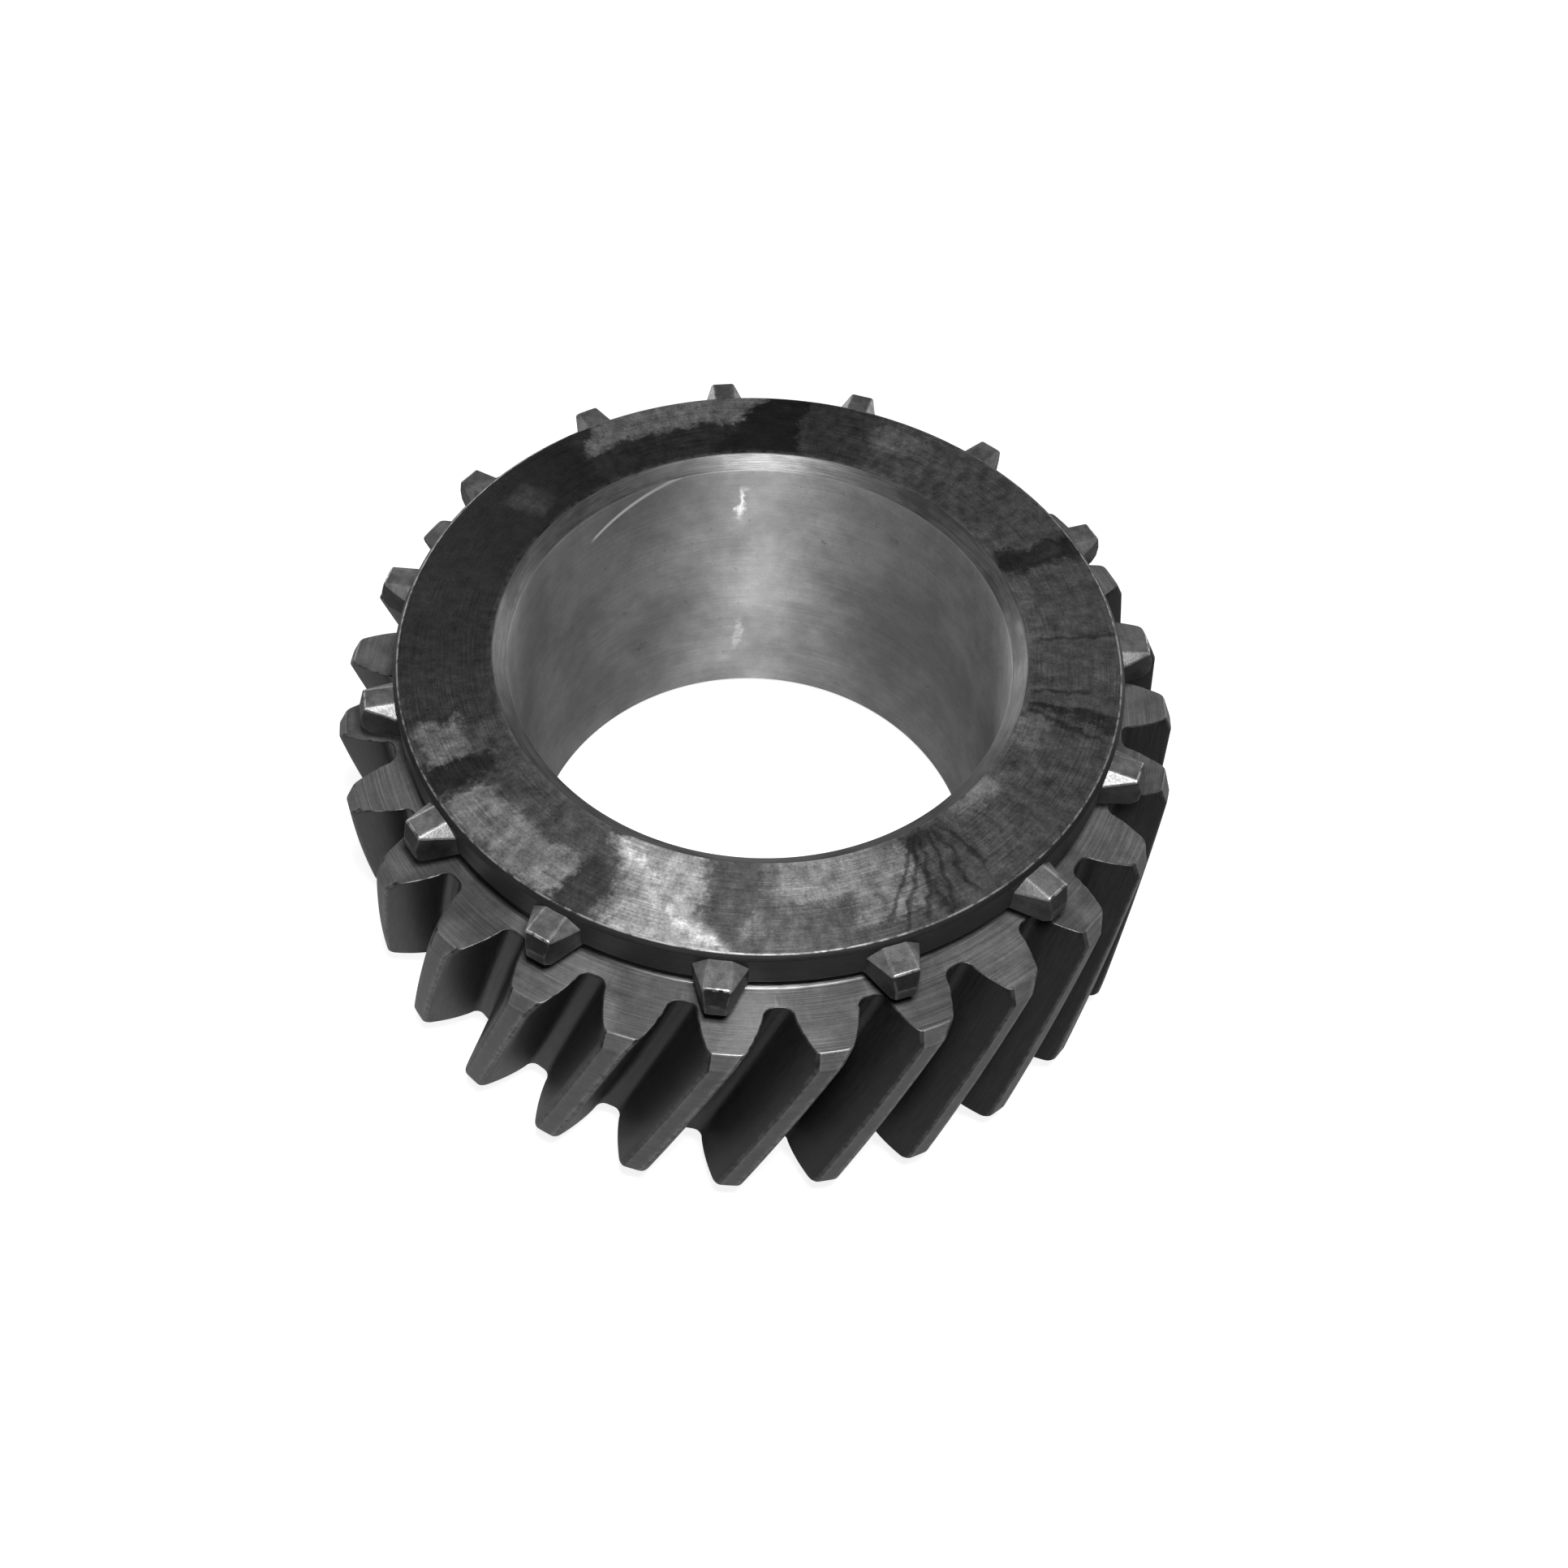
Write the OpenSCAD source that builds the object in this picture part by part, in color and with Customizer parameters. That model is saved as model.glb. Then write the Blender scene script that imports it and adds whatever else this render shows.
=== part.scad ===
// Helical speed gear of a heavy gearbox, with a dog-clutch ring on its upper end.
// The bore axis is +Z, and Z = 0 is the lower thrust face.
// Right-hand involute teeth: going up, each tooth turns anticlockwise as seen from above.

/* [Bore and height] */
// Diameter of the bore, which runs on a needle cage
bore_d = 80; // [76:0.5:84]
// Height over the two thrust faces
total_h = 62; // [60:0.5:66]
// Bevel at each mouth of the bore
bore_bevel = 2.2; // [0.5:0.1:3]

/* [Gear teeth] */
// Number of helical teeth
gear_teeth = 28; // [28:1:30]
// Normal module
module_n = 4.25; // [4.2:0.05:4.5]
// Helix angle at the pitch circle
helix = 18; // [10:1:25]
// Normal pressure angle
pressure = 20; // [18:0.5:22]
// Profile shift in modules
profile_shift = 0.36; // [0.2:0.02:0.4]
// Diameter over the tips of the teeth
tip_d = 135; // [133:0.2:136]
// Depth of the tooth below the pitch circle, in modules
dedendum = 1.2; // [1.15:0.05:1.3]
// Width of the toothed rim along the bore axis
face_w = 41; // [34:0.5:43]
// Depth of the rim's upper face below the upper thrust face
rim_drop = 10.9; // [10.5:0.1:13]
// Width of the turned bevel on the upper tooth corners, towards the bore
tooth_bevel_r = 1.3; // [0.5:0.1:2]
// Height of the turned bevel on the upper tooth corners
tooth_bevel_h = 2.6; // [1:0.1:4]
// Bevel on the lower tooth corners
tooth_edge = 0.4; // [0.2:0.1:1]
// Bevel along both edges of each tooth's tip
tip_relief = 0.8; // [0.2:0.1:1]
// Angle of one tooth's middle at the rim's upper face
gear_phase = -1.8; // [-6:0.1:6]

/* [Clutch ring] */
// Outer diameter of the clutch ring
ring_d = 115; // [113:0.5:116]
// Thickness of the clutch ring at its rim
ring_h = 7; // [6:0.1:8]
// Bevel round the clutch ring's upper rim
ring_bevel = 0.7; // [0.4:0.1:1.5]
// Bevel round the clutch ring's lower rim
ring_edge = 0.8; // [0.2:0.1:1]
// Number of dog teeth
dog_teeth = 15; // [12:1:18]
// Diameter over the tips of the dog teeth
dog_tip_d = 126; // [120:0.2:130]
// Width of a dog tooth where it leaves the ring
dog_root_w = 7.8; // [6:0.1:9]
// Width of a dog tooth at its tip, and of the flat along its top
dog_tip_w = 3.4; // [2:0.1:5]
// Slope of the roof on each side of the flat
dog_slope = 38; // [20:1:50]
// How far a dog tooth's tip leans back at its top
dog_bevel = 1; // [0.4:0.1:2]
// Height of the leaning part of a dog tooth's tip
dog_bevel_h = 3; // [1:0.1:3.5]
// Bevel on the lower edge of a dog tooth's tip
dog_edge = 1; // [0.4:0.1:1.5]
// Depth of the dog teeth's tops below the upper thrust face
dog_drop = 0.9; // [0.5:0.1:1.6]
// Angle of one dog tooth's middle
dog_phase = 2.5; // [0:0.1:24]

/* [Neck, spigot and boss] */
// Diameter of the neck in the groove under the clutch ring
neck_d = 105; // [103:0.5:108]
// Diameter of the spigot that the clutch ring is shrunk onto
spigot_d = 100; // [96:0.5:101]
// Length of the spigot above the neck
spigot_h = 3.6; // [2:0.1:3.8]
// Diameter of the shoulder at the neck's foot, on the rim's upper face
shoulder_d = 111.4; // [111:0.1:114.5]
// Height of the shoulder
shoulder_h = 1.2; // [0.6:0.1:1.5]
// Diameter of the lower hub boss
boss_d = 98; // [94:0.5:100]
// Edge break of the lower hub boss
boss_edge = 1.5; // [0.5:0.1:3]
// Leg of the weld bead in the groove
weld_leg = 1.6; // [1:0.1:2]

/* [Hidden] */
$fn = 160;

// Heights, from the lower thrust face up
rim_top = total_h - rim_drop;
rim_low = rim_top - face_w;
seat_z = total_h - ring_h;
spigot_top = seat_z + spigot_h;
dog_top = total_h - dog_drop;

// Radii of the wheel
bore_r = bore_d / 2;
ring_r = ring_d / 2;
neck_r = neck_d / 2;
spigot_r = spigot_d / 2;
boss_r = boss_d / 2;
shoulder_r = shoulder_d / 2;
sink = 1;              // how far the shoulder's cone runs into the toothed rim
crown_r = 45;          // inner radius of the toothed crown, inside the hub's metal
weld_bulge = 0.25;     // how far the bead's face stands out
dog_bury = 4;          // how far a dog tooth's block runs into the ring
rim_mid = (rim_low + rim_top) / 2;

// Tooth geometry in the plane across the bore axis
pitch_angle = 360 / gear_teeth;
pitch_r = gear_teeth * module_n / cos(helix) / 2;
tip_r = tip_d / 2;
root_r = pitch_r - module_n * (dedendum - profile_shift);
pressure_t = atan(tan(pressure) / cos(helix));
base_r = pitch_r * cos(pressure_t);
fillet = 0.35 * module_n;
flank_start_r = root_r + fillet;
half_tooth = pitch_angle / 4 + 2 * profile_shift * tan(pressure) / gear_teeth * 180 / PI;
twist_per_mm = tan(helix) / pitch_r * 180 / PI;
flank_points = 5;
plain_spans = 5;

// Involute function of an angle, in degrees
function involute(a) = tan(a) * 180 / PI - a;

// Half of the tooth's angle at radius r
function flank_angle(r) = half_tooth + involute(pressure_t) - involute(acos(min(1, base_r / r)));

// One side of a tooth from its root to its tip at the cap radius, as [radius, angle] pairs
function tooth_side(cap) =
    let (foot = flank_angle(flank_start_r), turn = fillet / root_r * 180 / PI)
    concat(
        [[root_r, foot + turn]],
        [[root_r + fillet * (1 - cos(45)), foot + turn * (1 - sin(45))]],
        [for (k = [0 : flank_points - 1])
            let (r = flank_start_r + (cap - tip_relief - flank_start_r) * k / (flank_points - 1))
            [r, flank_angle(r)]],
        [[cap, flank_angle(cap) - tip_relief / cap * 180 / PI]]
    );

// One whole tooth, starting in the middle of the gap before it
function tooth_outline(cap) =
    let (side = tooth_side(cap), n = len(side))
    concat(
        [[root_r, -pitch_angle / 2]],
        [for (p = side) [p[0], -p[1]]],
        [for (i = [n - 1 : -1 : 0]) side[i]]
    );

// The crown's sections from below: [height, cap radius]
function sections() =
    let (low = rim_low + tooth_edge, high = rim_top - tooth_bevel_h)
    concat(
        [[rim_low, tip_r - tooth_edge]],
        [for (i = [0 : plain_spans]) [low + (high - low) * i / plain_spans, tip_r]],
        [[rim_top, tip_r - tooth_bevel_r]]
    );

function at(r, a, z) = [r * cos(a), r * sin(a), z];

// Turn of the teeth at height z
function turn_at(z) = gear_phase + (z - rim_top) * twist_per_mm;

// The ring of helical teeth, as one closed solid round a hidden inner wall
module tooth_crown() {
    levels = sections();
    steps = len(levels);
    per_tooth = len(tooth_outline(tip_r));
    ring = gear_teeth * per_tooth;
    outer = [
        for (s = levels, t = [0 : gear_teeth - 1], p = tooth_outline(s[1]))
            at(p[0], p[1] + t * pitch_angle + turn_at(s[0]), s[0])
    ];
    inner = [
        for (s = [levels[0], levels[steps - 1]], t = [0 : gear_teeth - 1])
            at(crown_r, t * pitch_angle + turn_at(s[0]), s[0])
    ];
    low_in = len(outer);
    high_in = low_in + gear_teeth;
    top = (steps - 1) * ring;
    walls = [
        for (s = [0 : steps - 2], i = [0 : ring - 1])
            let (a = s * ring + i, b = s * ring + (i + 1) % ring)
            each [[a, a + ring, b + ring], [a, b + ring, b]]
    ];
    caps = [
        for (t = [0 : gear_teeth - 1], i = [0 : per_tooth - 1])
            let (a = t * per_tooth + i, b = (t * per_tooth + i + 1) % ring)
            each [[low_in + t, a, b], [high_in + t, top + b, top + a]]
    ];
    joins = [
        for (t = [0 : gear_teeth - 1])
            let (u = (t + 1) % gear_teeth, gap = u * per_tooth)
            each [[low_in + t, gap, low_in + u], [high_in + t, high_in + u, top + gap]]
    ];
    lining = [
        for (t = [0 : gear_teeth - 1])
            let (u = (t + 1) % gear_teeth)
            each [[low_in + t, high_in + u, high_in + t], [low_in + t, low_in + u, high_in + u]]
    ];
    polyhedron(points = concat(outer, inner), faces = concat(walls, caps, joins, lining));
}

// The turned hub: lower boss, web under the teeth, shoulder, neck and spigot, with the ground bore
module hub() {
    rotate_extrude()
        polygon([
            [bore_r + bore_bevel, 0],
            [boss_r - boss_edge, 0],
            [boss_r, boss_edge],
            [boss_r, rim_mid],
            [neck_r, rim_mid],
            [shoulder_r + sink, rim_top - sink],
            [shoulder_r - shoulder_h, rim_top + shoulder_h],
            [neck_r, rim_top + shoulder_h],
            [neck_r, seat_z],
            [spigot_r, seat_z],
            [spigot_r, spigot_top],
            [bore_r, spigot_top],
            [bore_r, bore_bevel]
        ]);
}

// The forged and ground wheel
module gear_wheel() {
    color([0.34, 0.34, 0.35])
        union() {
            hub();
            tooth_crown();
        }
}

// One dog tooth: a wedge that narrows towards its bevelled tip, under a roof with a flat along its top
module dog() {
    half_root = dog_root_w / 2;
    half_tip = dog_tip_w / 2;
    tip = dog_tip_d / 2;
    root = ring_r - dog_bury;
    half_bury = half_root + (half_root - half_tip) * dog_bury / (tip - ring_r);
    eaves = dog_top - (half_bury - half_tip) * tan(dog_slope);
    intersection() {
        translate([0, 0, seat_z])
            linear_extrude(height = dog_top - seat_z)
                polygon([[root, -half_bury], [tip, -half_tip], [tip, half_tip], [root, half_bury]]);
        rotate([90, 0, 90])
            linear_extrude(height = tip + 1)
                polygon([
                    [-half_bury, seat_z],
                    [half_bury, seat_z],
                    [half_bury, eaves],
                    [half_tip, dog_top],
                    [-half_tip, dog_top],
                    [-half_bury, eaves]
                ]);
        rotate([90, 0, 0])
            linear_extrude(height = 2 * half_bury, center = true)
                polygon([
                    [root, seat_z],
                    [tip - dog_edge, seat_z],
                    [tip, seat_z + dog_edge],
                    [tip, dog_top - dog_bevel_h],
                    [tip - dog_bevel, dog_top],
                    [root, dog_top]
                ]);
    }
}

// The clutch ring: it covers the spigot and carries the dogs and the upper thrust face
module clutch_ring() {
    color([0.27, 0.27, 0.28])
        union() {
            rotate_extrude()
                polygon([
                    [bore_r, spigot_top],
                    [spigot_r, spigot_top],
                    [spigot_r, seat_z],
                    [ring_r - ring_edge, seat_z],
                    [ring_r, seat_z + ring_edge],
                    [ring_r, total_h - ring_bevel],
                    [ring_r - ring_bevel, total_h],
                    [bore_r + bore_bevel, total_h],
                    [bore_r, total_h - bore_bevel]
                ]);
            for (i = [0 : dog_teeth - 1])
                rotate([0, 0, dog_phase + i * 360 / dog_teeth])
                    dog();
        }
}

// The weld bead between the neck and the clutch ring, at the back of the groove
module weld_seam() {
    bulge = weld_leg / 2 + weld_bulge;
    color([0.2, 0.2, 0.2])
        rotate_extrude()
            polygon([
                [neck_r, seat_z],
                [neck_r, seat_z - weld_leg],
                [neck_r + bulge, seat_z - bulge],
                [neck_r + weld_leg, seat_z]
            ]);
}

gear_wheel();
clutch_ring();
weld_seam();
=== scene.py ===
"""A helical gear with a dog-clutch ring: the visual model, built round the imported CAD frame.

Lengths are in millimetres until a mesh is made, and angles are in degrees. Heights run up from the lower
thrust face, as in the CAD, and angles run anticlockwise from +X, seen from above.
"""

import math

import bmesh
import bpy
from mathutils import Matrix, Vector


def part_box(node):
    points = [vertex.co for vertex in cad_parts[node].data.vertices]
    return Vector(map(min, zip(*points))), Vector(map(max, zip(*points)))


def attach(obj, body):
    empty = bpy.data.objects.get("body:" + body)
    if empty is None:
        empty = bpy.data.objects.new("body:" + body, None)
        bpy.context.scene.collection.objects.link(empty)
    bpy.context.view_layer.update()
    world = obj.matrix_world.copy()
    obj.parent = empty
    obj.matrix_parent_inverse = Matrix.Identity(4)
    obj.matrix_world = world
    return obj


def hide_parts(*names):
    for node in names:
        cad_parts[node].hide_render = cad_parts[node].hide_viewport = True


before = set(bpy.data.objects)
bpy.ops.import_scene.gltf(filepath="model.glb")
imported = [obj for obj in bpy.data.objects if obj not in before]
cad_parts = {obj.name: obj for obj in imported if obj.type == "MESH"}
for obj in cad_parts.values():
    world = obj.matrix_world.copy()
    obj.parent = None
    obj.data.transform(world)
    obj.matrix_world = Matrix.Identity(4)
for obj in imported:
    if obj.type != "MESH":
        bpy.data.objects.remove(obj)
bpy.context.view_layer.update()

MM = 0.001

# ---------------------------------------------------------------- dimensions

# Heights that the frame gives
TOP_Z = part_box("clutch_ring")[1].z / MM
SEAT_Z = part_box("clutch_ring")[0].z / MM
SPIGOT_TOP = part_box("gear_wheel")[1].z / MM
WELD_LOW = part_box("weld_seam")[0].z / MM

# The toothed rim
TEETH = 28
MODULE = 4.25
HELIX = 18.0
PRESSURE = 20.0
PROFILE_SHIFT = 0.36
DEDENDUM = 1.2
GEAR_PHASE = -1.8
TIP_R = 67.5
FACE_W = 41.0
RIM_TOP = TOP_Z - 10.9
RIM_LOW = RIM_TOP - FACE_W
TOOTH_BEVEL_R = 1.3
TOOTH_BEVEL_H = 2.6
TOOTH_EDGE = 0.4
TIP_ROUND = 0.8
END_ROUND = 0.22

# The turned body and the bore
BORE_R = 40.0
BORE_BEVEL = 2.2
NECK_R = 52.5
SPIGOT_R = 50.0
SHOULDER_R = 55.7
SHOULDER_H = 1.2
BOSS_R = 49.0
BOSS_EDGE = 1.5

# The clutch ring and its dogs
RING_R = 57.5
RING_BEVEL = 0.7
RING_EDGE = 0.8
RING_SOFT = 0.2
DOGS = 15
DOG_TIP_R = 63.0
DOG_ROOT_HALF = 3.9
DOG_TIP_HALF = 1.7
DOG_SLOPE = 38.0
DOG_TOP = TOP_Z - 0.9
DOG_PHASE = 2.5
DOG_BURY = 1.5
DOG_TAPER = 0.2
DOG_BEVEL = 1.0
DOG_BEVEL_H = 3.0
DOG_EDGE = 1.0
DOG_SOFT = 0.4

# The weld bead in the groove
WELD_LEG = SEAT_Z - WELD_LOW

# How wear shows on the teeth: along the rim's ends, as a share of that away from the driving flanks, and as
# a share of the driving side's on the coasting side
END_WEAR = 0.7
END_SHARE = 0.25
COAST_WEAR = 0.45

# How finely the surfaces are cut round the bore axis and along the teeth, and the angle that counts as sharp
ROUND_STEPS = 360
HELIX_STEPS = 26
SHARP_ANGLE = 40

# How many points of each rounded tip corner belong to the tip's land
LAND_POINTS = 4

# Tooth geometry in the plane across the bore axis
PITCH_ANGLE = 360 / TEETH
PITCH_R = TEETH * MODULE / math.cos(math.radians(HELIX)) / 2
ROOT_R = PITCH_R - MODULE * (DEDENDUM - PROFILE_SHIFT)
PRESSURE_T = math.atan(math.tan(math.radians(PRESSURE)) / math.cos(math.radians(HELIX)))
BASE_R = PITCH_R * math.cos(PRESSURE_T)
FILLET = 0.35 * MODULE
HALF_TOOTH = PITCH_ANGLE / 4 + math.degrees(2 * PROFILE_SHIFT * math.tan(math.radians(PRESSURE)) / TEETH)
TWIST_PER_MM = math.degrees(math.tan(math.radians(HELIX)) / PITCH_R)


# ---------------------------------------------------------------- mesh building


class Shell:
    """A closed surface made of loops round the bore axis, with a material and a wear value on each part."""

    def __init__(self):
        self.points = []
        self.angles = []
        self.wear = []
        self.faces = []
        self.face_materials = []
        self.face_wear = []

    def face(self, corners, material, wear=1.0):
        """Adds a face. wear is the share of its corners' wear values that it shows."""
        self.faces.append(tuple(corners))
        self.face_materials.append(material)
        self.face_wear.append(wear)

    def loop(self, outline, z, turn=0.0, wear=0.0):
        """Adds a closed loop at height z from (radius, angle) or (radius, angle, wear) points."""
        first = len(self.points)
        for point in outline:
            radius, angle = point[0], point[1] + turn
            own_wear = point[2] if len(point) > 2 else 0.0
            self.points.append(Vector(polar(radius, angle, z)) * MM)
            self.angles.append(angle)
            self.wear.append(max(wear, own_wear))
        return list(range(first, len(self.points)))

    def band(self, start, end, material):
        """Joins two loops of the same count with quads. start comes first on the way up, in, down and out."""
        count = len(start)
        for i in range(count):
            j = (i + 1) % count
            self.face((start[i], start[j], end[j], end[i]), material)

    def stitch(self, start, end, material):
        """Joins two loops of different counts with triangles, by angle. These faces show no wear."""
        origin = self.angles[start[0]]
        turned = [(self.angles[v] - origin) % 360 for v in end]
        first = turned.index(min(turned))
        end = end[first:] + end[:first]
        start_angles = [self.angles[v] - origin for v in start] + [360]
        end_angles = turned[first:] + turned[:first] + [turned[first] + 360]
        i = j = 0
        while i < len(start) or j < len(end):
            a, b = start[i % len(start)], end[j % len(end)]
            if j >= len(end) or (i < len(start) and start_angles[i + 1] <= end_angles[j + 1]):
                i += 1
                self.face((a, start[i % len(start)], b), material, 0.0)
            else:
                j += 1
                self.face((a, end[j % len(end)], b), material, 0.0)

    def add_solid(self, solid, turn):
        """Adds a closed solid of points and (corners, material, wear) faces, turned round the bore axis."""
        first = len(self.points)
        points, faces = solid
        spin = Matrix.Rotation(math.radians(turn), 3, "Z")
        for point in points:
            self.points.append(spin @ Vector(point) * MM)
            self.angles.append(turn)
            self.wear.append(1.0)
        for corners, material, wear in faces:
            self.face([first + v for v in corners], material, wear)

    def build(self, name, materials):
        """Makes the object, smooth-shaded but for its sharp edges."""
        mesh = bpy.data.meshes.new(name)
        mesh.from_pydata(self.points, [], self.faces)
        used = sorted(set(self.face_materials))
        for key in used:
            mesh.materials.append(materials[key])
        mesh.polygons.foreach_set("material_index", [used.index(m) for m in self.face_materials])
        mesh.update()
        attribute = mesh.attributes.new("wear", "FLOAT", "CORNER")
        shown = []
        for corners, share in zip(self.faces, self.face_wear):
            shown += [self.wear[v] * share for v in corners]
        attribute.data.foreach_set("value", shown)
        mesh.shade_smooth()
        mesh.set_sharp_from_angle(angle=math.radians(SHARP_ANGLE))
        piece = bpy.data.objects.new(name, mesh)
        bpy.context.scene.collection.objects.link(piece)
        even = piece.modifiers.new("face_weighted_normals", "WEIGHTED_NORMAL")
        even.keep_sharp = True
        even.weight = 80
        return piece


def polar(radius, angle, z):
    return (radius * math.cos(math.radians(angle)), radius * math.sin(math.radians(angle)), z)


def circle(radius, steps=ROUND_STEPS):
    return [(radius, -180 + 360 * i / steps) for i in range(steps)]


def arc_steps(count):
    """Shares of a quarter turn, from 0 to 90 degrees."""
    return [90 * i / count for i in range(count + 1)]


# ---------------------------------------------------------------- gear teeth


def involute(angle):
    return math.degrees(math.tan(angle) - angle)


def flank_angle(radius):
    """Half of the tooth's angle at a radius."""
    return HALF_TOOTH + involute(PRESSURE_T) - involute(math.acos(min(1, BASE_R / radius)))


def half_tooth_outline(cap):
    """(radius, angle, wear) from the middle of a gap to the middle of the tip, at radius cap."""
    foot_r = ROOT_R + FILLET
    foot = flank_angle(foot_r)
    turn = math.degrees(FILLET / ROOT_R)
    gap = [(ROOT_R, -PITCH_ANGLE / 2 + (PITCH_ANGLE / 2 - foot - turn) * i / 3, 0) for i in range(3)]
    fillet = [
        (ROOT_R + FILLET * (1 - math.cos(math.radians(f))), -foot - turn * (1 - math.sin(math.radians(f))), 0)
        for f in arc_steps(4)
    ]
    flank_top = cap - TIP_ROUND
    flank = []
    for i in range(1, 10):
        radius = foot_r + (flank_top - foot_r) * i / 9
        flank.append((radius, -flank_angle(radius), 0))
    land_turn = math.degrees(TIP_ROUND / cap)
    corner = []
    for i in range(1, 6):
        t = i / 6
        radius = (1 - t) ** 2 * flank_top + 2 * t * (1 - t) * cap + t * t * cap
        at_flank, at_corner = flank_angle(flank_top), flank_angle(cap)
        angle = (1 - t) ** 2 * at_flank + 2 * t * (1 - t) * at_corner + t * t * (at_corner - land_turn)
        corner.append((radius, -angle, 0.6 if i > 2 else 0))
    land_edge = flank_angle(cap) - land_turn
    land = [(cap, -land_edge * (1 - i / 2), 0.3 if i == 0 else 0) for i in range(3)]
    return gap + fillet + flank + corner + land


def rim_outline(cap, inset):
    """The whole toothed outline, moved inwards by inset. The coasting side of each tooth is less worn."""
    half = half_tooth_outline(cap)
    behind = [(r, a, w * COAST_WEAR) for r, a, w in half]
    tooth = behind + [(r, -a, w) for r, a, w in reversed(half[1:-1])]
    outline = [(r, a + PITCH_ANGLE * t, w) for t in range(TEETH) for r, a, w in tooth]
    if not inset:
        return outline
    flat = [polar(r, a, 0) for r, a, w in outline]
    moved = []
    for i, (radius, angle, wear) in enumerate(outline):
        before, after = flat[i - 1], flat[(i + 1) % len(flat)]
        dx, dy = after[0] - before[0], after[1] - before[1]
        length = math.hypot(dx, dy)
        x, y = flat[i][0] - dy / length * inset, flat[i][1] + dx / length * inset
        turned = math.degrees(math.atan2(y, x))
        moved.append((math.hypot(x, y), turned + 360 * round((angle - turned) / 360), wear))
    return moved


def cap_at(z):
    """Radius over the tips at height z, with the bevels at both ends."""
    upper = (z - (RIM_TOP - TOOTH_BEVEL_H)) / TOOTH_BEVEL_H
    lower = (RIM_LOW + TOOTH_EDGE - z) / TOOTH_EDGE
    return TIP_R - TOOTH_BEVEL_R * max(0, upper) - TOOTH_EDGE * max(0, lower)


def turn_at(z):
    return GEAR_PHASE + (z - RIM_TOP) * TWIST_PER_MM


def rim_loop(shell, z, inset, wear):
    """One loop of the toothed wall. wear is shown in full on the driving flank of each tooth."""
    outline = rim_outline(cap_at(z), inset)
    per_tooth = len(outline) // TEETH
    drive_from = (per_tooth + 2) // 2 + 2
    worn = []
    for i, (radius, angle, own_wear) in enumerate(outline):
        driving = i % per_tooth >= drive_from and radius > ROOT_R + 1.0
        worn.append((radius, angle, max(own_wear, wear if driving else wear * END_SHARE)))
    return shell.loop(worn, z, turn_at(z))


def rim_levels():
    """(height, inset, wear) of the toothed wall's loops, from the lower end to the upper one."""
    rounding = [
        (END_ROUND * (1 - math.sin(math.radians(f))), END_ROUND * (1 - math.cos(math.radians(f))), END_WEAR)
        for f in arc_steps(3)
    ]
    bottom, bevel = RIM_LOW + TOOTH_EDGE, RIM_TOP - TOOTH_BEVEL_H
    low = [(RIM_LOW + depth, inset, wear) for depth, inset, wear in reversed(rounding)]
    wall = [(bottom + (bevel - bottom) * i / HELIX_STEPS, 0, 0) for i in range(HELIX_STEPS + 1)]
    cone = [(bevel + (TOOTH_BEVEL_H - END_ROUND) * i / 3, 0, 0) for i in range(1, 4)]
    high = [(RIM_TOP - depth, inset, wear) for depth, inset, wear in rounding[1:]]
    return low + wall + cone + high


def gear_wheel_shell():
    """The wheel: its toothed wall, then its outline from the rim's upper face down through the bore."""
    shell = Shell()
    levels = rim_levels()
    loops = [rim_loop(shell, z, inset, wear) for z, inset, wear in levels]
    for i in range(len(loops) - 1):
        band_between(shell, loops[i], loops[i + 1], levels[i][0])

    upward = [
        (SHOULDER_R + 0.5, RIM_TOP, 0, "rim_face"),
        (SHOULDER_R + 0.1, RIM_TOP + 0.05, 0, "shoulder"),
        (SHOULDER_R - SHOULDER_H + 0.15, RIM_TOP + SHOULDER_H - 0.15, 0.6, "shoulder"),
        (SHOULDER_R - SHOULDER_H - 0.15, RIM_TOP + SHOULDER_H, 0.6, "groove"),
        (NECK_R + 0.6, RIM_TOP + SHOULDER_H, 0, "groove"),
        (NECK_R, RIM_TOP + SHOULDER_H + 0.6, 0, "groove"),
        (NECK_R, SEAT_Z, 0, "groove"),
        (SPIGOT_R, SEAT_Z, 0, "groove"),
        (SPIGOT_R, SPIGOT_TOP, 0, "groove"),
        (BORE_R, SPIGOT_TOP, 0, "groove"),
    ]
    last = None
    for radius, z, wear, material in upward:
        ring = shell.loop(circle(radius), z, 0, wear)
        if last:
            shell.band(last, ring, material)
        else:
            shell.stitch(loops[-1], ring, material)
        last = ring

    bore_drop = [SPIGOT_TOP + (BORE_BEVEL - SPIGOT_TOP) * i / 8 for i in range(1, 9)]
    downward = [(BORE_R, z, 0, "bore") for z in bore_drop]
    downward += [
        (BORE_R + 0.15, BORE_BEVEL - 0.25, 0.6, "bore"),
        (BORE_R + BORE_BEVEL - 0.2, 0.15, 0, "lower_face"),
        (BORE_R + BORE_BEVEL + 0.1, 0, 0.6, "lower_face"),
        (BOSS_R - BOSS_EDGE - 0.1, 0, 0.6, "lower_face"),
        (BOSS_R - BOSS_EDGE + 0.15, 0.15, 0, "lower_face"),
        (BOSS_R - 0.15, BOSS_EDGE - 0.15, 0, "lower_face"),
        (BOSS_R, BOSS_EDGE + 0.15, 0.6, "lower_face"),
        (BOSS_R, RIM_LOW - 1.2, 0, "lower_face"),
        (BOSS_R + 0.35, RIM_LOW - 0.35, 0, "lower_face"),
        (BOSS_R + 1.2, RIM_LOW, 0, "lower_face"),
        (ROOT_R - 1.2, RIM_LOW, 0, "lower_face"),
    ]
    for radius, z, wear, material in downward:
        ring = shell.loop(circle(radius), z, 0, wear)
        shell.band(last, ring, material)
        last = ring
    shell.stitch(last, loops[0], "lower_face")
    return shell


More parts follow.
